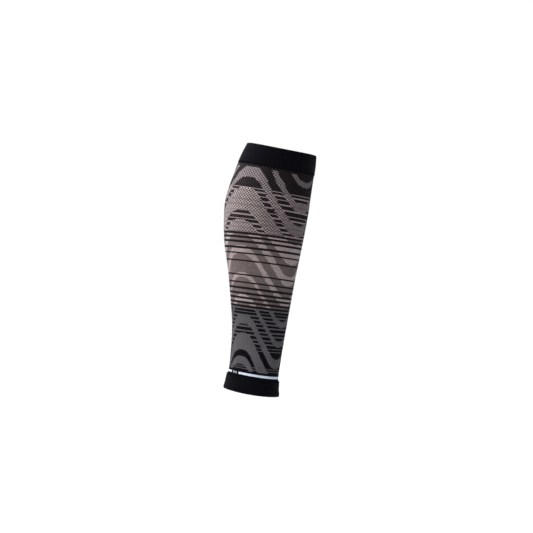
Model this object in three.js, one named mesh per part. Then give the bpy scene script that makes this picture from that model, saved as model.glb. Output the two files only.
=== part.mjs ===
// A calf compression sleeve: a seamless knitted tube, shaped by the lower leg that it is worn on.
// From the knee down it is an upper welt, the patterned knit body, a narrow band of courses that
// carries a contrasting stripe, and a lower welt. Each welt is a turned band of two layers that
// meet in a round fold at the rim, and its open edge is linked to the tube.
// Millimetres, +Z up the leg, +X towards the shin, -X towards the calf muscle.
// The origin is on the leg's axis, at the level where the calf is widest.
import * as THREE from 'three';
import { ParametricGeometry } from 'three/addons/geometries/ParametricGeometry.js';

// Lengths along the leg.
const sleeveLength = 335; // lower rim to upper rim
const calfHeight = 246; // lower rim to the widest level of the calf
const upperWeltHeight = 27;
const lowerWeltHeight = 21;
const stripeBandHeight = 9;

// The worn shape: how far the knit's outer face reaches from the leg's axis.
const calfBack = 67.7;
const calfFront = 47.1;
const calfSide = 53.5;
const ankleBack = 33.7;
const ankleFront = 35.6;
const ankleSide = 29;
const ringDip = 2; // how far the upper rim hangs lower at the leg's sides than at its front and back

// The fabric.
const knitWall = 1.1;
const upperWeltLayer = 1.0; // one of the two layers of the turned welt
const lowerWeltLayer = 1.3; // the lower welt is knitted from a thicker yarn
const foldGap = 0.3; // between a welt's two layers
const linkGap = 0.3; // between pieces that are linked edge to edge
const lowerWeltStandsOut = 1.5; // beyond the outer face of the knit

// Facets.
const sidesAround = 48;
const bodyRows = 19;
const weltRows = 3;
const bandRows = 1;
const foldSteps = 4; // round a welt's fold, from its outer face to its inner face

// The leg's sections. level is 0 at the lower rim, 1 where the calf is widest and 2 at the upper
// rim. back, front and side are 0 at the ankle's reach and 1 at the calf's. egg widens the back of
// a section and narrows its shin side, tilt lifts its shin side, in degrees, and dip is its share
// of ringDip.
const legSections = [
  { level: 0.0, back: 0.09, front: 0.22, side: 0.08, egg: -0.04, tilt: -2.2, dip: 0.8 },
  { level: 0.076, back: 0.024, front: 0.03, side: 0.02, egg: -0.06, tilt: -2.8, dip: 0.5 },
  { level: 0.123, back: 0.0, front: -0.03, side: 0.0, egg: -0.06, tilt: -1.5, dip: 0.2 },
  { level: 0.233, back: 0.02, front: 0.03, side: 0.016, egg: -0.05, tilt: 0.6, dip: 0.0 },
  { level: 0.369, back: 0.1, front: 0.15, side: 0.115, egg: 0.0, tilt: 0.7, dip: 0.0 },
  { level: 0.519, back: 0.315, front: 0.315, side: 0.32, egg: 0.04, tilt: -0.3, dip: -0.1 },
  { level: 0.67, back: 0.555, front: 0.5, side: 0.565, egg: 0.07, tilt: -0.1, dip: -0.4 },
  { level: 0.82, back: 0.835, front: 0.76, side: 0.81, egg: 0.08, tilt: 0.5, dip: -0.5 },
  { level: 1.0, back: 1.0, front: 1.0, side: 1.0, egg: 0.08, tilt: -1.4, dip: -0.3 },
  { level: 1.29, back: 0.925, front: 1.06, side: 0.99, egg: 0.07, tilt: -2.2, dip: 0.2 },
  { level: 1.5, back: 0.8, front: 1.083, side: 0.94, egg: 0.06, tilt: -2.6, dip: 0.45 },
  { level: 1.72, back: 0.65, front: 1.13, side: 0.88, egg: 0.05, tilt: -3.0, dip: 0.7 },
  { level: 2.0, back: 0.4, front: 1.083, side: 0.8, egg: 0.04, tilt: -3.6, dip: 1.0 },
];

const columns = ['back', 'front', 'side', 'egg', 'tilt', 'dip'];
const sectionCurve = new THREE.CubicInterpolant(
  legSections.map((row) => row.level),
  legSections.flatMap((row) => columns.map((column) => row[column])),
  columns.length,
);

// The section at a height above the lower rim, with its reaches in millimetres.
function sectionAt(height) {
  const aboveCalf = (height - calfHeight) / (sleeveLength - calfHeight);
  const level = height < calfHeight ? height / calfHeight : 1 + aboveCalf;
  const [back, front, side, egg, tilt, dip] = sectionCurve.evaluate(level);
  return {
    back: THREE.MathUtils.lerp(ankleBack, calfBack, back),
    front: THREE.MathUtils.lerp(ankleFront, calfFront, front),
    side: THREE.MathUtils.lerp(ankleSide, calfSide, side),
    egg,
    rise: Math.tan(THREE.MathUtils.degToRad(tilt)),
    dip: ringDip * dip,
  };
}

// A point of the worn tube: height above the lower rim, angle round the leg from the shin, and
// distance out from the knit's outer face, along the section's own normal.
function tubePoint(height, angle, out, target) {
  const { back, front, side, egg, rise, dip } = sectionAt(height);
  const centre = (front - back) / 2;
  const reach = (front + back) / 2;
  const normal = new THREE.Vector2(
    side * (Math.cos(angle) - egg * Math.cos(2 * angle)),
    reach * Math.sin(angle),
  ).normalize();
  const x = centre + reach * Math.cos(angle) + out * normal.x;
  const y = side * Math.sin(angle) * (1 - egg * Math.cos(angle)) + out * normal.y;
  const z = height - calfHeight + x * rise - dip * Math.sin(angle) ** 2;
  return target.set(x, y, z);
}

// A ring round the leg whose wall has the given closed profile, a list of { height, out } points
// that runs up the outer face and down the inner face.
function ringGeometry(profile) {
  const surface = (around, along, target) => {
    const angle = 2 * Math.PI * (Math.round(around * sidesAround) % sidesAround) / sidesAround;
    const corner = profile[Math.round(along * profile.length) % profile.length];
    tubePoint(corner.height, angle, corner.out, target);
  };
  return new ParametricGeometry(surface, sidesAround, profile.length);
}

// Points at equal steps from one height to another, on a face at one distance out.
function face(from, to, out, rows) {
  return Array.from({ length: rows + 1 }, (_, i) => ({
    height: THREE.MathUtils.lerp(from, to, i / rows),
    out,
  }));
}

// A plain wall between two heights.
function wallProfile(from, to, outer, wall, rows) {
  return [...face(from, to, outer, rows), ...face(to, from, outer - wall, rows)];
}

// A turned welt: an outer and an inner layer with a thin gap between them, joined by a half round
// fold at the rim and open at the linked edge.
function weltProfile(linked, rim, outer, layer) {
  const thickness = 2 * layer + foldGap;
  const radius = thickness / 2;
  const towardsRim = Math.sign(rim - linked);
  const foldStart = rim - towardsRim * radius;
  const gapEnd = foldStart - towardsRim * layer / 2;
  const fold = Array.from({ length: foldSteps - 1 }, (_, i) => {
    const turn = Math.PI * (i + 1) / foldSteps;
    return {
      height: foldStart + towardsRim * radius * Math.sin(turn),
      out: outer - radius + radius * Math.cos(turn),
    };
  });
  const profile = [
    ...face(linked, foldStart, outer, weltRows),
    ...fold,
    ...face(foldStart, linked, outer - thickness, weltRows),
    ...face(linked, gapEnd, outer - layer - foldGap, 1),
    ...face(gapEnd, linked, outer - layer, 1),
  ];
  return towardsRim > 0 ? profile : profile.reverse();
}

// The heights where one piece is linked to the next.
const lowerLink = lowerWeltHeight;
const bandLink = lowerLink + stripeBandHeight;
const upperLink = sleeveLength - upperWeltHeight;
const half = linkGap / 2;

// The upper welt is centred on the knit's wall, so it stands out by half of what it has more.
const upperWeltStandsOut = (2 * upperWeltLayer + foldGap - knitWall) / 2;

const blackYarn = { color: 0x101014, roughness: 0.9, metalness: 0 };
const patternedYarn = { color: 0x6a6263, roughness: 0.85, metalness: 0 };

function piece(name, profile, yarn) {
  const mesh = new THREE.Mesh(ringGeometry(profile), new THREE.MeshStandardMaterial(yarn));
  mesh.name = name;
  return mesh;
}

const sleeve = new THREE.Group();
sleeve.add(
  piece(
    'upper_welt',
    weltProfile(upperLink + half, sleeveLength, upperWeltStandsOut, upperWeltLayer),
    blackYarn,
  ),
  piece('knit_body', wallProfile(bandLink + half, upperLink - half, 0, knitWall, bodyRows), patternedYarn),
  piece('stripe_band', wallProfile(lowerLink + half, bandLink - half, 0, knitWall, bandRows), blackYarn),
  piece('lower_welt', weltProfile(lowerLink - half, 0, lowerWeltStandsOut, lowerWeltLayer), blackYarn),
);

export default sleeve;
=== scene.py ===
import bpy
import numpy as np
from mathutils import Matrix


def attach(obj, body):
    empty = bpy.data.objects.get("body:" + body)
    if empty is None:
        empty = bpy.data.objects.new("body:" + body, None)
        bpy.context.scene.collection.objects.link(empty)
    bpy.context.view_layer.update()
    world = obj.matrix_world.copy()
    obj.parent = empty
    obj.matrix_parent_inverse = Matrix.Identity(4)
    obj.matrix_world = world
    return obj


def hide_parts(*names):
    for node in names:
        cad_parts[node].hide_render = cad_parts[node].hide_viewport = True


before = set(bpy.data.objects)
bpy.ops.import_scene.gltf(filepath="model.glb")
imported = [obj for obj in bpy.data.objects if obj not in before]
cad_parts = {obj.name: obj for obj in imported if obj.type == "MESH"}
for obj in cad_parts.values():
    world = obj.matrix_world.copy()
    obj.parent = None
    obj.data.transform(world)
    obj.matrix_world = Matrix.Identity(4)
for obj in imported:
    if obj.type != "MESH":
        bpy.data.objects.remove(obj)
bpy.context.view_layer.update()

# THE VIEW
# The photograph looks straight at the side of the worn sleeve, calf to the left and shin to the
# right, from about two metres away. It leans a little there, and the camera is rolled by that much.
photo_pixels = 533
pixel_size = 0.00137  # metres of the object that one pixel of the photograph covers
camera_distance = 2.2
sleeve_lean = np.radians(7.3)
frame_centre = (-0.0002, -0.0726)  # x and z that the middle of the photograph looks at
sensor_width = 0.036
millimetres = 1000  # in a metre, because a lens is given in them


def aim_camera():
    """The camera looks along +Y. Its up direction is +Z, turned by the lean about the line of
    sight."""
    lens = bpy.data.cameras.new("photo_camera")
    lens.sensor_width = sensor_width * millimetres
    lens.lens = millimetres * sensor_width * camera_distance / (photo_pixels * pixel_size)
    camera = bpy.data.objects.new("photo_camera", lens)
    camera.location = (frame_centre[0], -camera_distance, frame_centre[1])
    camera.rotation_euler = (np.pi / 2, -sleeve_lean, 0)
    bpy.context.collection.objects.link(camera)
    bpy.context.scene.camera = camera


aim_camera()

# THE KNIT BODY
# A seamless tube of fine polyamide and elastane yarns on one circular machine, with the same number
# of stitches in every course, so that it is stretched most round the calf. A jacquard of grey and
# black yarns draws slow waves round the leg over level stripes, and turns light in the middle.
sleeve_length = 0.335
calf_height = 0.246  # from the lower rim to the widest level of the calf
calf_reach = {"back": 0.0677, "front": 0.0471, "side": 0.0535}
ankle_reach = {"back": 0.0337, "front": 0.0356, "side": 0.029}
ring_dip = 0.002
knit_wall = 0.0011
leg_columns = ("level", "back", "front", "side", "egg", "tilt", "dip")
leg_sections = np.array([
    (0.0, 0.09, 0.22, 0.08, -0.04, -2.2, 0.8),
    (0.076, 0.024, 0.03, 0.02, -0.06, -2.8, 0.5),
    (0.123, 0.0, -0.03, 0.0, -0.06, -1.5, 0.2),
    (0.233, 0.02, 0.03, 0.016, -0.05, 0.6, 0.0),
    (0.369, 0.1, 0.15, 0.115, 0.0, 0.7, 0.0),
    (0.519, 0.315, 0.315, 0.32, 0.04, -0.3, -0.1),
    (0.67, 0.555, 0.5, 0.565, 0.07, -0.1, -0.4),
    (0.82, 0.835, 0.76, 0.81, 0.08, 0.5, -0.5),
    (1.0, 1.0, 1.0, 1.0, 0.08, -1.4, -0.3),
    (1.29, 0.925, 1.06, 0.99, 0.07, -2.2, 0.2),
    (1.5, 0.8, 1.083, 0.94, 0.06, -2.6, 0.45),
    (1.72, 0.65, 1.13, 0.88, 0.05, -3.0, 0.7),
    (2.0, 0.4, 1.083, 0.8, 0.04, -3.6, 1.0),
])
wales = 300  # columns of stitches round the leg, one to a needle
course = 0.001  # height of one row of stitches
body_low, body_high = 0.030, 0.308
inside_rows = 50
wale_edges = 2 * np.pi * np.arange(wales) / wales  # round the leg from the shin
wale_middles = 2 * np.pi * (np.arange(wales) + 0.5) / wales
sharp_edge = np.radians(50)  # an edge that turns by more is shaded as a corner


def curve_through(table, place):
    """A cubic through a table whose first column is the place. Its slope at each row is the mean
    of the slopes of the straight lines to the two rows beside it, or that of the one line at an
    end of the table."""
    knots, values = table[:, 0], table[:, 1:]
    chords = np.diff(values, axis=0) / np.diff(knots)[:, None]
    slopes = np.concatenate([chords[:1], (chords[1:] + chords[:-1]) / 2, chords[-1:]])
    i = np.clip(np.searchsorted(knots, place, side="right") - 1, 0, len(knots) - 2)
    span = (knots[i + 1] - knots[i])[..., None]
    p = (place - knots[i])[..., None] / span
    return ((2 * p**3 - 3 * p**2 + 1) * values[i] + (p**3 - 2 * p**2 + p) * span * slopes[i]
            + (3 * p**2 - 2 * p**3) * values[i + 1] + (p**3 - p**2) * span * slopes[i + 1])


def section_at(height):
    """The leg's section at each height, with level 1 at the calf and 2 at the upper rim, and each
    reach a share of the way from the ankle's to the calf's."""
    above = (height - calf_height) / (sleeve_length - calf_height)
    level = np.where(height < calf_height, height / calf_height, 1 + above)
    shares = curve_through(leg_sections, level)
    section = dict(zip(leg_columns[1:], np.moveaxis(shares, -1, 0)))
    for side in ("back", "front", "side"):
        section[side] = ankle_reach[side] + (calf_reach[side] - ankle_reach[side]) * section[side]
    return section


def worn_point(height, angle, out):
    """Points of the worn tube: height above the lower rim, angle round the leg from the shin, and
    distance out from the knit's face along the normal of the egg-shaped section."""
    s = section_at(height)
    reach, centre = (s["front"] + s["back"]) / 2, (s["front"] - s["back"]) / 2
    normal_x = s["side"] * (np.cos(angle) - s["egg"] * np.cos(2 * angle))
    normal_y = reach * np.sin(angle)
    size = np.hypot(normal_x, normal_y)
    x = centre + reach * np.cos(angle) + out * normal_x / size
    y = s["side"] * np.sin(angle) * (1 - s["egg"] * np.cos(angle)) + out * normal_y / size
    z = height - calf_height + x * np.tan(np.radians(s["tilt"]))
    return np.stack([x, y, z - ring_dip * s["dip"] * np.sin(angle) ** 2], axis=-1)


def at_each_wale(values):
    """The same value of a row at every wale round the leg."""
    return np.repeat(values[:, None], wales, axis=1)


def knit_ring(name, height, out, course_of, colour):
    """A closed ring of knit. Its wall is a closed profile of rows, up the outer face and down the
    inner one, and each face between two rows is one stitch, with a colour and a place in the
    stitch map. height and out are arrays of rows by wales, course_of numbers the rows, and colour
    has a row of faces for each row of points, the last of which leads back to the first."""
    rows, columns = height.shape
    points = worn_point(height, wale_edges, out).reshape(-1, 3)
    r, c = np.meshgrid(np.arange(rows), np.arange(columns), indexing="ij")
    up, across = (r + 1) % rows, (c + 1) % columns
    corners = [r * columns + c, r * columns + across, up * columns + across, up * columns + c]
    faces = np.stack(corners, axis=-1).reshape(-1, 4)
    mesh = bpy.data.meshes.new(name)
    mesh.from_pydata(points, [], faces)
    low = course_of[:, None] + np.zeros_like(c)
    high = np.roll(course_of, -1)[:, None] + np.zeros_like(c)
    stitches = np.stack([c, low, c + 1, low, c + 1, high, c, high], axis=-1).astype(np.float32)
    mesh.uv_layers.new(name="stitches").data.foreach_set("uv", stitches.ravel())
    yarn = mesh.color_attributes.new("yarn", "FLOAT_COLOR", "CORNER")
    rgba = np.concatenate([colour, np.ones(colour.shape[:2] + (1,))], axis=-1)
    corner_colours = np.repeat(rgba.reshape(-1, 4), 4, axis=0).astype(np.float32)
    yarn.data.foreach_set("color", corner_colours.ravel())
    mesh.shade_smooth()
    mesh.set_sharp_from_angle(angle=sharp_edge)
    piece = bpy.data.objects.new(name, mesh)
    bpy.context.collection.objects.link(piece)
    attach(piece, "root")
    return piece


# The yarns as they lie in the fabric, and the waves and stripes that they draw.
yarns = {  # colour, how far the stitches stand out, and the power of the painted side shade on them
    "black": ((0.0035, 0.0032, 0.0052), 0.00012, 0.0),
    "umber": ((0.0110, 0.0080, 0.0080), 0.00012, 0.0),
    "brown_black": ((0.040, 0.029, 0.028), 0.00004, 2.0),
    "mesh_grey": ((0.060, 0.045, 0.044), 0.0, 1.0),
    "dot": ((0.440, 0.372, 0.362), 0.00016, 1.0),
    "dim_dot": ((0.330, 0.277, 0.275), 0.00016, 1.0),
    "rose": ((0.325, 0.240, 0.230), 0.00014, 1.0),
    "gap_grey": ((0.310, 0.242, 0.240), 0.0, 0.0),
    "ash": ((0.108, 0.098, 0.103), 0.0, 0.0),
    "taupe": ((0.162, 0.124, 0.120), 0.0, 0.6),
    "sand": ((0.385, 0.310, 0.294), 0.00008, 0.2),
}
wave_crest = np.radians(-36)  # round the leg from its outer side towards the shin
wave_drop = np.array([  # degrees round from a crest, and the share of the way down to the trough
    (0, 0.0), (8, 0.01), (16, 0.06), (24, 0.16), (32, 0.31), (40, 0.46), (52, 0.65), (64, 0.83),
    (76, 0.955), (90, 1.0),
])
waves = np.array([  # heights of each wave's lower and upper edge at its crest, and at its trough
    (0.0382, 0.0492, -0.0179, -0.0062), (0.0580, 0.0810, 0.0037, 0.0247),
    (0.0935, 0.1065, 0.0365, 0.0489), (0.1225, 0.1319, 0.0652, 0.0730),
    (0.1548, 0.1610, 0.0918, 0.1007), (0.1860, 0.1975, 0.1208, 0.1327),
    (0.2140, 0.2312, 0.1495, 0.1622), (0.2435, 0.2745, 0.1781, 0.2057),
    (0.2890, 0.3045, 0.2170, 0.2327), (0.3220, 0.3340, 0.2508, 0.2628),
    (0.3565, 0.3645, 0.2864, 0.2940),
])
stripes = np.array([  # height of each dark stripe, and how many courses it has
    (0.0605, 3), (0.0652, 4), (0.0703, 3), (0.0765, 4), (0.0820, 3), (0.0874, 4), (0.0928, 3),
    (0.0976, 3), (0.1023, 3), (0.1070, 3), (0.1118, 3), (0.1165, 3), (0.1219, 3), (0.1272, 3),
    (0.1332, 3), (0.1405, 3), (0.1484, 2), (0.1583, 2), (0.1772, 2), (0.1870, 2), (0.1945, 3),
    (0.2029, 3), (0.2082, 3), (0.2135, 3), (0.2187, 3), (0.2243, 4), (0.2300, 4), (0.2352, 4),
    (0.2410, 4), (0.2475, 6), (0.2541, 5), (0.2611, 5), (0.2670, 4), (0.2725, 3),
])
stripes_low, stripes_high = 0.0580, 0.2750  # below and above, the ground is solid black
waves_high, eyes_high = 0.3035, 0.3058  # where the waves end, and then the bird's eye
light_low, light_high = 0.1145, 0.2149  # between these the stripes run over the waves
eye_stitches = 2  # each way in a cell of the bird's eye
hairlines = np.array([(0.0322, 1), (0.0355, 1)])  # single grey courses in the lower black
# Painted shade on the shin side, away from the key light, and painted light on the calf side.
painted_shin_shade, painted_calf_light = 0.64, 1.16  # painted shade and painted light
inside_base, inside_share = 0.03, 0.4  # the inside's own shade, and what it has of the outside's
blur_courses, blur_wales = 3, 4  # how far to each side the inside mixes the yarns


def in_courses(height, lines):
    """Which rows lie in a set of lines, each of which has a height and a whole number of courses."""
    lowest = np.round((lines[:, 0] - body_low) / course - lines[:, 1] / 2)
    row = np.floor((height[:, None] - body_low) / course)
    return ((row >= lowest) & (row < lowest + lines[:, 1])).any(axis=-1)[:, None]


def jacquard(height, angle):
    """Which yarn each stitch has, as its row in the table. The edge of a wave lies at the height
    crest - (crest - trough) drop, where drop runs from 0 at a crest to 1 at a trough, twice round
    the leg. In a bird's eye, two yarns alternate in square cells of a few stitches."""
    paired = angle[::2].repeat(2)  # the needles select in pairs, which steps the waves' edges
    turn = np.degrees(np.arccos(np.abs(np.cos(paired + np.pi / 2 - wave_crest))))
    drop = curve_through(wave_drop, turn)
    h = height[:, None]
    low_crest, high_crest, low_trough, high_trough = waves.T
    low_edge = low_crest - (low_crest - low_trough) * drop
    high_edge = high_crest - (high_crest - high_trough) * drop
    in_wave = ((h[..., None] > low_edge) & (h[..., None] < high_edge)).any(axis=-1)
    in_wave &= h < waves_high
    in_stripe, in_hairline = in_courses(height, stripes), in_courses(height, hairlines)
    eye_row, eye_column = np.arange(len(height)) // eye_stitches, np.arange(len(angle)) // eye_stitches
    odd = (eye_row[:, None] + eye_column) % 2 == 1
    light = (h > light_low) & (h < light_high)
    upper = h > light_high
    solid = (h < stripes_low) | (h > stripes_high)
    layers = [  # the first that holds gives the yarn
        (light & in_stripe, "umber"),
        (light & in_wave, "sand"),
        (light, "taupe"),
        (upper & in_wave & odd & solid, "dim_dot"),
        (upper & in_wave & odd & in_stripe, "dot"),
        (upper & in_wave & odd, "rose"),
        (upper & in_wave, "mesh_grey"),
        (in_wave | in_hairline, "ash"),
        (upper & (in_stripe | solid) & odd & (h < eyes_high), "brown_black"),
        (solid | in_stripe, "black"),
        (upper, "gap_grey"),
    ]
    names = list(yarns)
    return np.select([layer for layer, _ in layers], [names.index(name) for _, name in layers],
                     default=names.index("ash"))


def wall_rows(low, high, wall, rows_outside, rows_inside):
    """Heights, places out and course numbers of a plain wall's rows, up the outer face and down
    the inner one."""
    outside = np.linspace(low, high, rows_outside + 1)
    inside = np.linspace(high, low, rows_inside + 1)
    height = np.concatenate([outside, inside])
    out = np.concatenate([0 * outside, 0 * inside - wall])
    courses_inside = rows_outside * (inside - low) / (high - low)
    courses = np.concatenate([np.arange(rows_outside + 1), courses_inside])
    return height, out, courses


stitch_slope = 0.6  # how many courses a stitch's legs rise in one wale
ridge_power = 0.5  # widens the ridges of the yarn
painted_pit_shade, painted_ridge_light = 0.62, 0.45  # pit's painted shade, ridge's painted highlight
least_shade, shade_spread = 0.8, 0.4  # the darkest stitch, and how much lighter the palest one is


def make_stitches_group():
    """Knit stitches on a map of wales and courses. Each wale is two yarn legs that slope down to
    meet at its middle: a leg is a round ridge across, sin(pi x 2s), and along, sin(pi q), where s
    is the distance from the wale's middle and q the place in the course less s times the slope.
    The height is the product of both to the ridge power, and a stitch is painted lighter on
    its ridge and painted darker in the pits, as painted light and shade."""
    group = bpy.data.node_groups.new("knit stitches", "ShaderNodeTree")
    face = group.interface
    face.new_socket("Map", in_out="INPUT", socket_type="NodeSocketVector")
    face.new_socket("Slope", in_out="INPUT", socket_type="NodeSocketFloat")
    face.new_socket("Height", in_out="OUTPUT", socket_type="NodeSocketFloat")
    face.new_socket("Shade", in_out="OUTPUT", socket_type="NodeSocketFloat")
    nodes, links = group.nodes, group.links
    inputs, outputs = nodes.new("NodeGroupInput"), nodes.new("NodeGroupOutput")

    def math(operation, first, second=None, third=None):
        """The result of a new math node on numbers or other nodes' results."""
        node = nodes.new("ShaderNodeMath")
        node.operation = operation
        for socket, value in zip(node.inputs, (first, second, third)):
            if hasattr(value, "links"):
                links.new(value, socket)
            elif value is not None:
                socket.default_value = value
        return node.outputs[0]

    split = nodes.new("ShaderNodeSeparateXYZ")
    links.new(inputs.outputs["Map"], split.inputs[0])
    from_middle = math("ABSOLUTE", math("SUBTRACT", math("FRACT", split.outputs["X"]), 0.5))
    rise = math("MULTIPLY", from_middle, inputs.outputs["Slope"])
    lifted = math("SUBTRACT", split.outputs["Y"], rise)
    across = math("SINE", math("MULTIPLY", from_middle, 2 * np.pi))
    along = math("SINE", math("MULTIPLY", math("FRACT", lifted), np.pi))
    ridge = math("MULTIPLY", math("POWER", across, ridge_power), math("POWER", along, ridge_power))
    links.new(ridge, outputs.inputs["Height"])
    cell = nodes.new("ShaderNodeCombineXYZ")
    links.new(math("FLOOR", split.outputs["X"]), cell.inputs["X"])
    links.new(math("FLOOR", lifted), cell.inputs["Y"])
    each = nodes.new("ShaderNodeTexWhiteNoise")
    links.new(cell.outputs[0], each.inputs["Vector"])
    # painted highlight on the ridges, painted shade in the pits between the stitches
    lit = math("MULTIPLY_ADD", ridge, painted_ridge_light, painted_pit_shade)
    spread = math("MULTIPLY_ADD", each.outputs["Value"], shade_spread, least_shade)
    links.new(math("MULTIPLY", lit, spread), outputs.inputs["Shade"])
    return group


stitches_group = make_stitches_group()
yarn_specular, sheen_roughness = 0.03, 0.3
cloud_scale, cloud_detail = 45, 3
cloud_range, cloud_shades = (0.3, 0.7), (0.9, 1.1)  # of the noise, and the shades that it becomes
fibre_scale, fibre_share = 4000, 0.15  # the share is of a stitch's height


def knit_material(name, stitch_depth, roughness, sheen):
    """Matt yarn: the yarn colours of the mesh, with painted shade between the stitches and painted
    light on their ridges, a little cloudy where the fabric is stretched unevenly, with the stitches
    and the yarns' fibres as relief."""
    material = bpy.data.materials.new(name)
    material.use_nodes = True
    nodes, links = material.node_tree.nodes, material.node_tree.links
    shader = nodes["Principled BSDF"]
    shader.inputs["Roughness"].default_value = roughness
    shader.inputs["Specular IOR Level"].default_value = yarn_specular
    shader.inputs["Sheen Weight"].default_value = sheen
    shader.inputs["Sheen Roughness"].default_value = sheen_roughness
    stitch_map = nodes.new("ShaderNodeUVMap")
    stitch_map.uv_map = "stitches"
    stitches = nodes.new("ShaderNodeGroup")
    stitches.node_tree = stitches_group
    stitches.inputs["Slope"].default_value = stitch_slope
    links.new(stitch_map.outputs["UV"], stitches.inputs["Map"])
    place = nodes.new("ShaderNodeTexCoord")
    cloud = nodes.new("ShaderNodeTexNoise")
    cloud.inputs["Scale"].default_value = cloud_scale
    cloud.inputs["Detail"].default_value = cloud_detail
    links.new(place.outputs["Object"], cloud.inputs["Vector"])
    clouded = nodes.new("ShaderNodeMapRange")
    clouded.inputs["From Min"].default_value, clouded.inputs["From Max"].default_value = cloud_range
    clouded.inputs["To Min"].default_value, clouded.inputs["To Max"].default_value = cloud_shades
    links.new(cloud.outputs["Fac"], clouded.inputs["Value"])
    # the stitches' painted light and shade, times their random tone and the cloud
    shade = nodes.new("ShaderNodeMath")
    shade.operation = "MULTIPLY"
    links.new(stitches.outputs["Shade"], shade.inputs[0])
    links.new(clouded.outputs["Result"], shade.inputs[1])
    yarn = nodes.new("ShaderNodeVertexColor")
    yarn.layer_name = "yarn"
    tinted = nodes.new("ShaderNodeVectorMath")
    tinted.operation = "SCALE"
    links.new(yarn.outputs["Color"], tinted.inputs[0])
    links.new(shade.outputs[0], tinted.inputs["Scale"])
    links.new(tinted.outputs[0], shader.inputs["Base Color"])
    fibres = nodes.new("ShaderNodeTexNoise")
    fibres.inputs["Scale"].default_value = fibre_scale
    links.new(place.outputs["Object"], fibres.inputs["Vector"])
    relief = nodes.new("ShaderNodeMath")
    relief.operation = "MULTIPLY_ADD"
    relief.inputs[1].default_value = fibre_share
    links.new(fibres.outputs["Fac"], relief.inputs[0])
    links.new(stitches.outputs["Height"], relief.inputs[2])
    bump = nodes.new("ShaderNodeBump")
    bump.inputs["Distance"].default_value = stitch_depth
    links.new(relief.outputs[0], bump.inputs["Height"])
    links.new(bump.outputs["Normal"], shader.inputs["Normal"])
    return material


def blurred(colour):
    """The mean colour of the courses and wales about each stitch, as far as the blur reaches."""
    ups = range(-blur_courses, blur_courses + 1)
    acrosses = range(-blur_wales, blur_wales + 1)
    steps = [(up, across) for up in ups for across in acrosses]
    return np.mean([np.roll(colour, step, axis=(0, 1)) for step in steps], axis=0)


def make_knit_body():
    """The body's wall. Outside, one face is one stitch, and each corner stands out by the mean of the
    four stitches about it. Inside, the floats of the yarns that are not in use blur the pattern. The
    yarn colours get painted shade on the shin side, away from the key light, and painted light on
    the calf side, towards it, going from one to the other with (1 - cos) / 2."""
    rows = round((body_high - body_low) / course)
    height, out, courses = wall_rows(body_low, body_high, knit_wall, rows, inside_rows)
    middle = (height + np.roll(height, -1)) / 2
    pick = jacquard(middle, wale_middles)
    shown, stands_out, painted_shade_power = (np.array(column) for column in zip(*yarns.values()))
    # painted shade towards the shin and painted light towards the calf, as the key light falls
    painted_side_shade = painted_shin_shade + (painted_calf_light - painted_shin_shade) * (1 - np.cos(wale_middles)) / 2
    colour = shown[pick] * (painted_side_shade ** painted_shade_power[pick])[..., None]
    behind = np.clip((middle[rows:] - body_low) / course, 0, rows - 1).astype(int)
    colour[rows:] = inside_base + inside_share * blurred(colour[:rows])[behind]
    relief = np.pad(stands_out[pick[:rows]], ((1, 1), (0, 0)), mode="edge")
    relief = (relief[1:] + relief[:-1]) / 2
    out = at_each_wale(out)
    out[:rows + 1] += (relief + np.roll(relief, 1, axis=1)) / 2
    body = knit_ring("knit_body_cloth", at_each_wale(height), out, courses, colour)
    knit = knit_material("patterned knit", stitch_depth=0.0003, roughness=0.85, sheen=0.015)
    body.data.materials.append(knit)
    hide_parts("knit_body")


make_knit_body()

# THE STRIPE BAND
# The last courses before the lower welt are plain black, with a white yarn laid in for a stripe.
# The stripe stops short on the outer side of the leg, where two white dashes are knitted instead.
band_low, band_high = 0.021, body_low
stripe_low, stripe_high = 0.0240, 0.0270
stripe_stops = np.radians((-58.5, -36.5))  # round the leg from its outer side towards the shin
dash_start, dash_count = np.radians(-52), 2
dash_pitch, dash_width = 6, 2  # in wales
white_yarn = (0.78, 0.82, 0.94)
band_inside_rows = 4


def make_stripe_band():
    """A plain wall of the same gauge as the body, with the stripe and the dashes picked out. turn is
    the angle round from the outer side, from minus half a turn to half a turn, and a dash is the
    first few wales of each pitch."""
    rows = round((band_high - band_low) / course)
    height, out, courses = wall_rows(band_low, band_high, knit_wall, rows, band_inside_rows)
    middle = (height + np.roll(height, -1)) / 2
    turn = np.remainder(wale_middles + np.pi / 2 + np.pi, 2 * np.pi) - np.pi
    in_stripe = (middle > stripe_low) & (middle < stripe_high)
    steps = np.floor((turn - dash_start) / (2 * np.pi) * wales).astype(int)
    dashes = (steps >= 0) & (steps < dash_count * dash_pitch) & (steps % dash_pitch < dash_width)
    window = (turn > stripe_stops[0]) & (turn < stripe_stops[1])
    white = in_stripe[:, None] & (~window | dashes)
    white[rows:] = False
    colour = np.where(white[..., None], white_yarn, yarns["black"][0])
    band = knit_ring("stripe_band_cloth", at_each_wale(height), at_each_wale(out), courses, colour)
    knit = knit_material("striped knit", stitch_depth=0.0003, roughness=0.85, sheen=0.015)
    band.data.materials.append(knit)
    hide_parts("stripe_band")


make_stripe_band()

# THE UPPER WELT
# A band of plain black elastic knit, folded over on itself at the rim below the knee so that no
# cut edge touches the skin. Its two layers lie close together and are linked to the body's top.
upper_link, upper_rim = body_high, sleeve_length
upper_layer, fold_gap = 0.001, 0.0003
upper_out = (2 * upper_layer + fold_gap - knit_wall) / 2
upper_swell = 0.0003


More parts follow.
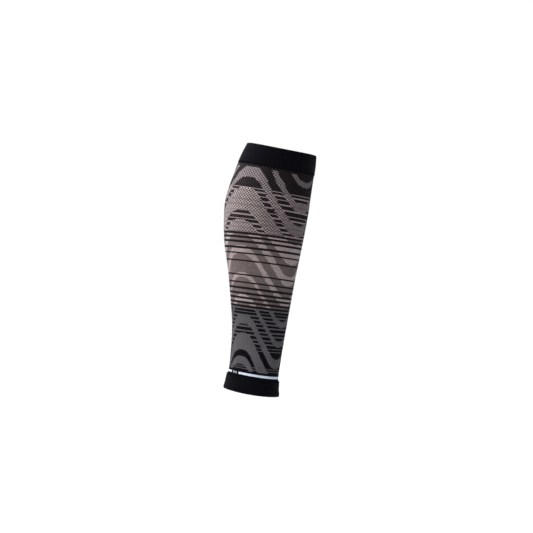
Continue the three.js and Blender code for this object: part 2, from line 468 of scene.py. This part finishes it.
def welt_rows(linked, rim, outer, layer, rows_inside=12, fold_steps=8):
    """Heights, places out and course numbers of a turned welt: up its outer layer to the rim, over
    a half round fold, down its inner layer, and back up and down the faces of the thin gap."""
    thickness = 2 * layer + fold_gap
    radius, towards = thickness / 2, np.sign(rim - linked)
    fold_start = rim - towards * radius
    gap_end = fold_start - towards * layer / 2
    rows = round(abs(fold_start - linked) / course)
    turn = np.pi * np.arange(1, fold_steps) / fold_steps
    height = np.concatenate([
        np.linspace(linked, fold_start, rows + 1), fold_start + towards * radius * np.sin(turn),
        np.linspace(fold_start, linked, rows_inside + 1), [linked, gap_end, gap_end, linked]])
    gap_faces = np.repeat([outer - layer - fold_gap, outer - layer], 2)
    out = np.concatenate([
        np.full(rows + 1, outer), outer - radius + radius * np.cos(turn),
        np.full(rows_inside + 1, outer - thickness), gap_faces])
    along = np.hypot(np.diff(height, prepend=linked), np.diff(out, prepend=outer)).cumsum()
    order = slice(None) if towards > 0 else slice(None, None, -1)
    return height[order], out[order], towards * along[order] / course


def make_welt(name, node, height, out, courses, material):
    """A turned welt in black yarn."""
    colour = np.full(height.shape + (3,), yarns["black"][0])
    welt = knit_ring(name, height, out, courses, colour)
    welt.data.materials.append(material)
    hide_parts(node)


def make_upper_welt():
    """The fold's outer layer swells between the rim and the linked edge, as sin(pi share) of the
    way up it."""
    height, out, courses = welt_rows(upper_link, upper_rim, upper_out, upper_layer)
    share = np.clip((height - upper_link) / (upper_rim - upper_link), 0, 1)
    swell = upper_swell * np.sin(np.pi * share) * (out > 0)
    knit = knit_material("upper welt knit", stitch_depth=0.00025, roughness=0.9, sheen=0.02)
    make_welt("upper_welt_cloth", "upper_welt", at_each_wale(height), at_each_wale(out + swell),
              courses, knit)


make_upper_welt()

# THE LOWER WELT
# The same turned band at the ankle, but knitted from a thicker and firmer yarn, so that it stands
# out from the body. It is cuffed round a leg that widens below it, which creases it softly.
lower_link, lower_rim = band_low, 0.0
lower_layer, lower_out = 0.0013, 0.0015
crease_depth, crease_halves = 0.00035, 3  # and how many half waves there are up the welt
crease_drift, crease_phases, crease_wander = 0.4, (1.1, -0.4), 0.5  # their change round the leg
shoulder_depth, shoulder_power = 0.0006, 12  # a greater power gives a shorter shoulder


def make_lower_welt():
    """The creases are level waves in the outer layer, sin(3 pi share) up the welt and none at its
    ends, whose depth drifts round the leg. The linked edge is drawn in to a soft shoulder."""
    height, out, courses = welt_rows(lower_link, lower_rim, lower_out, lower_layer)
    share = np.clip((height - lower_rim) / (lower_link - lower_rim), 0, 1)[:, None]
    two_fold = np.sin(2 * wale_edges + crease_phases[0])
    three_fold = np.cos(3 * wale_edges + crease_phases[1])
    depth = crease_depth * (1 - crease_drift + crease_drift * two_fold * three_fold)
    waves_up = np.sin(crease_halves * np.pi * share + crease_wander * np.sin(wale_edges))
    crease = depth * waves_up * np.sin(np.pi * share)
    out = out[:, None] + (crease - shoulder_depth * share ** shoulder_power) * (out[:, None] > 0)
    knit = knit_material("lower welt knit", stitch_depth=0.0003, roughness=0.9, sheen=0.02)
    make_welt("lower_welt_cloth", "lower_welt", at_each_wale(height), out, courses, knit)


make_lower_welt()

# THE LINKING STITCHES
# Each welt is linked to the tube by a row of short slanting stitches of black yarn, one to each
# wale, that cross from the welt's edge on to the finer knit.
link_yarn_radius = 0.0002
link_reach = 0.0011  # how far a stitch reaches over the edge, on each side
link_colour = (0.0040, 0.0036, 0.0055)
link_roughness, link_specular = 0.9, 0.05
link_slant = np.radians(0.8)  # round the leg, from a stitch's lower end to its upper one
link_arch = 1.2  # how far a stitch arches off the cloth, in yarn radii
climb_start, climb_share = 0.35, 0.3  # where along a stitch it climbs on to the other piece
end_power, end_least = 6, 0.05  # of the formula that rounds a stitch's ends
link_rings, link_sides = 7, 6
small_out, small_turn = 0.0001, 0.001  # steps that give the directions out and round


def make_linking_stitches(name, edge, out_low, out_high):
    """Bent tubes: each stitch runs from below the edge to above it, arched off the cloth, with its
    rings of points set out along the wall's own normal and round the leg. t runs from 0 to 1 along
    a stitch, whose thickness goes with the root of 1 - (2t - 1)^p, with p the end power."""
    ring_turn = 2 * np.pi * np.arange(link_sides) / link_sides
    start, t, ring = np.meshgrid(wale_edges, np.linspace(0, 1, link_rings), ring_turn, indexing="ij")
    height = edge + link_reach * (2 * t - 1)
    angle = start + link_slant * t
    climb = np.clip((t - climb_start) / climb_share, 0, 1)
    out = out_low + (out_high - out_low) * climb + link_arch * link_yarn_radius * np.sin(np.pi * t)
    centre = worn_point(height, angle, out)
    outward = worn_point(height, angle, out + small_out) - centre
    around = worn_point(height, angle + small_turn, out) - centre
    outward /= np.linalg.norm(outward, axis=-1, keepdims=True)
    around /= np.linalg.norm(around, axis=-1, keepdims=True)
    size = link_yarn_radius * np.sqrt(np.clip(1 - (2 * t - 1) ** end_power, end_least, 1))
    ring_out, ring_round = (size * np.cos(ring))[..., None], (size * np.sin(ring))[..., None]
    points = centre + ring_out * outward + ring_round * around
    number = np.arange(points[..., 0].size).reshape(points.shape[:3])
    beside = np.roll(number, -1, axis=2)
    corners = [number[:, :-1], beside[:, :-1], beside[:, 1:], number[:, 1:]]
    sides = np.stack(corners, axis=-1).reshape(-1, 4)
    ends = [number[:, 0, ::-1], number[:, -1]]
    mesh = bpy.data.meshes.new(name)
    mesh.from_pydata(points.reshape(-1, 3), [], sides.tolist() + np.concatenate(ends).tolist())
    mesh.shade_smooth()
    thread = bpy.data.materials.new(name)
    thread.use_nodes = True
    shader = thread.node_tree.nodes["Principled BSDF"]
    shader.inputs["Base Color"].default_value = link_colour + (1,)
    shader.inputs["Roughness"].default_value = link_roughness
    shader.inputs["Specular IOR Level"].default_value = link_specular
    mesh.materials.append(thread)
    row = bpy.data.objects.new(name, mesh)
    bpy.context.collection.objects.link(row)
    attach(row, "root")


make_linking_stitches("upper_linking_stitches", upper_link, 0.0, upper_out)
make_linking_stitches("lower_linking_stitches", lower_link, lower_out, 0.0)

# THE ROOM
# A pale floor well below the sleeve, in pale surroundings that are dim in front of it and bright
# behind it on the calf side. A broad key light and a softbox come from above on that side, and a
# small cool softbox stands level with the sleeve on the other one.
floor_height = -0.416
floor_half = 6.0
floor_colour = (0.74, 0.71, 0.65)
floor_roughness = 0.9
surround_colour = (0.9, 0.97, 1.12)
front_light, back_light = 0.1, 2.1
brightest_side = (-0.55, 0.835, 0.0)
dim_cosine, bright_cosine = -0.3, 0.7  # of the angle to the brightest side
lit_place = (0.0, 0.0, -0.08)
lamps = (  # name, kind, height and side in degrees, distance, width or angle, power and colour
    ("key", "SUN", 45, -62, 3.0, np.radians(50), 3.0, (0.98, 1.0, 1.03)),
    ("upper_softbox", "AREA", 55, -72, 0.9, 0.5, 3.4, (0.98, 1.0, 1.03)),
    ("side_softbox", "AREA", 0, 65, 0.7, 0.4, 0.9, (0.85, 1.0, 1.25)),
)


def make_floor():
    """A flat square sheet."""
    mesh = bpy.data.meshes.new("floor")
    corners = [(-floor_half, -floor_half), (floor_half, -floor_half), (floor_half, floor_half),
               (-floor_half, floor_half)]
    mesh.from_pydata([(x, y, floor_height) for x, y in corners], [], [(0, 1, 2, 3)])
    floor = bpy.data.objects.new("floor", mesh)
    bpy.context.collection.objects.link(floor)
    paper = bpy.data.materials.new("white paper")
    paper.use_nodes = True
    shader = paper.node_tree.nodes["Principled BSDF"]
    shader.inputs["Base Color"].default_value = floor_colour + (1,)
    shader.inputs["Roughness"].default_value = floor_roughness
    mesh.materials.append(paper)


def light_surroundings():
    """Strength grows with the cosine of the angle to the brightest side, evenly between the dim and
    the bright cosine. The camera itself sees plain white."""
    world = bpy.data.worlds.new("studio")
    bpy.context.scene.world = world
    world.use_nodes = True
    nodes, links = world.node_tree.nodes, world.node_tree.links
    direction = nodes.new("ShaderNodeTexCoord")
    towards = nodes.new("ShaderNodeVectorMath")
    towards.operation = "DOT_PRODUCT"
    towards.inputs[1].default_value = brightest_side
    links.new(direction.outputs["Generated"], towards.inputs[0])
    behind = nodes.new("ShaderNodeMapRange")
    behind.inputs["From Min"].default_value = dim_cosine
    behind.inputs["From Max"].default_value = bright_cosine
    behind.inputs["To Min"].default_value = front_light
    behind.inputs["To Max"].default_value = back_light
    links.new(towards.outputs["Value"], behind.inputs["Value"])
    seen = nodes.new("ShaderNodeLightPath")
    strength = nodes.new("ShaderNodeMapRange")
    links.new(behind.outputs["Result"], strength.inputs["To Min"])
    strength.inputs["To Max"].default_value = 1.0
    links.new(seen.outputs["Is Camera Ray"], strength.inputs["Value"])
    tint = nodes.new("ShaderNodeMix")
    tint.data_type = "RGBA"
    tint.inputs["A"].default_value = surround_colour + (1,)
    tint.inputs["B"].default_value = (1, 1, 1, 1)
    links.new(seen.outputs["Is Camera Ray"], tint.inputs["Factor"])
    links.new(tint.outputs["Result"], nodes["Background"].inputs["Color"])
    links.new(strength.outputs["Result"], nodes["Background"].inputs["Strength"])


def add_lamp(name, kind, height, side, distance, width, power, colour):
    """A lamp that faces the sleeve from a height above the level and a side that is counted from
    straight in front, towards the shin."""
    height, side = np.radians(height), np.radians(side)
    away = np.array([np.sin(side) * np.cos(height), -np.cos(side) * np.cos(height), np.sin(height)])
    light = bpy.data.lights.new(name, kind)
    light.energy, light.color = power, colour
    if kind == "SUN":
        light.angle = width
    else:
        light.size = width
    lamp = bpy.data.objects.new(name, light)
    lamp.location = np.array(lit_place) + distance * away
    lamp.rotation_euler = (np.pi / 2 - height, 0, side)
    lamp.visible_camera = False
    bpy.context.collection.objects.link(lamp)


bpy.context.scene.view_settings.view_transform = "Standard"
make_floor()
light_surroundings()
for lamp in lamps:
    add_lamp(*lamp)
